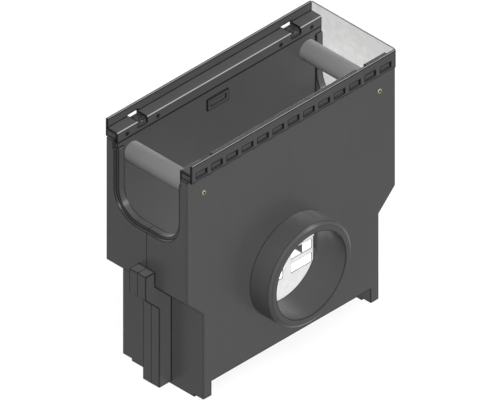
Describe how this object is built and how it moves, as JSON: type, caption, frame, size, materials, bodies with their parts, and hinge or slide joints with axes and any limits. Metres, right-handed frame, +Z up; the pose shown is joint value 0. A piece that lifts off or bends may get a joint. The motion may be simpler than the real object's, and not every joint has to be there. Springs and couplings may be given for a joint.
{
  "type": "channel drain inlet box",
  "caption": "Deep inlet and silt box for a drainage channel, with edge rails, cross struts, side outlet, end plate and a lift-out bucket with a swinging handle.",
  "frame": {"origin": "on the ground, below the middle of the overall outline", "axes": "+Z up, +X along the channel from the open inlet end to the closed end, -Y the way the outlet points"},
  "size_m": [0.544, 0.2486, 0.508],
  "materials": {
    "moulded_box": "dark grey mineral-filled moulding, fine matt grain",
    "coated_steel": "black-grey dip coating, satin",
    "spring_steel": "dark oiled spring steel",
    "grey_pipe": "mid grey extruded pipe, smooth",
    "yellow_zinc": "yellow passivated zinc",
    "galvanised_sheet": "bright hot-dip galvanised, faint spangle",
    "rivet_steel": "plain zinc plated",
    "handle_wire": "zinc plated wire"
  },
  "bodies": {
    "box": {"box_body": "moulded_box", "bucket_band": "galvanised_sheet", "bucket_shell": "galvanised_sheet", "edge_rail_back": "coated_steel", "edge_rail_front": "coated_steel", "end_plate": "galvanised_sheet", "handle_lug_back": "galvanised_sheet", "handle_lug_front": "galvanised_sheet", "lip_rivet_back_closed_1": "coated_steel", "lip_rivet_back_closed_2": "coated_steel", "lip_rivet_back_inlet_1": "coated_steel", "lip_rivet_back_inlet_2": "coated_steel", "lip_rivet_front_closed_1": "coated_steel", "lip_rivet_front_closed_2": "coated_steel", "lip_rivet_front_inlet_1": "coated_steel", "lip_rivet_front_inlet_2": "coated_steel", "lock_clip_back_closed": "spring_steel", "lock_clip_back_inlet": "spring_steel", "lock_clip_front_closed": "spring_steel", "lock_clip_front_inlet": "spring_steel", "lock_stud_back_closed": "spring_steel", "lock_stud_back_inlet": "spring_steel", "lock_stud_front_closed": "spring_steel", "lock_stud_front_inlet": "spring_steel", "lug_rivet_back_1": "rivet_steel", "lug_rivet_back_2": "rivet_steel", "lug_rivet_front_1": "rivet_steel", "lug_rivet_front_2": "rivet_steel", "outlet_spigot": "moulded_box", "strut_plug_closed_back": "grey_pipe", "strut_plug_closed_front": "grey_pipe", "strut_plug_inlet_back": "grey_pipe", "strut_plug_inlet_front": "grey_pipe", "strut_screw_closed_back": "yellow_zinc", "strut_screw_closed_front": "yellow_zinc", "strut_screw_inlet_back": "yellow_zinc", "strut_screw_inlet_front": "yellow_zinc", "strut_tube_closed": "grey_pipe", "strut_tube_inlet": "grey_pipe"},
    "handle": {"bucket_handle": "handle_wire"}
  },
  "joints": [
    {"name": "handle_hinge", "type": "hinge", "parent": "box", "child": "handle", "pos_m": [0, 0.0213, 0.1946], "axis": [0, -1, 0], "range_deg": [0, 180]}
  ]
}
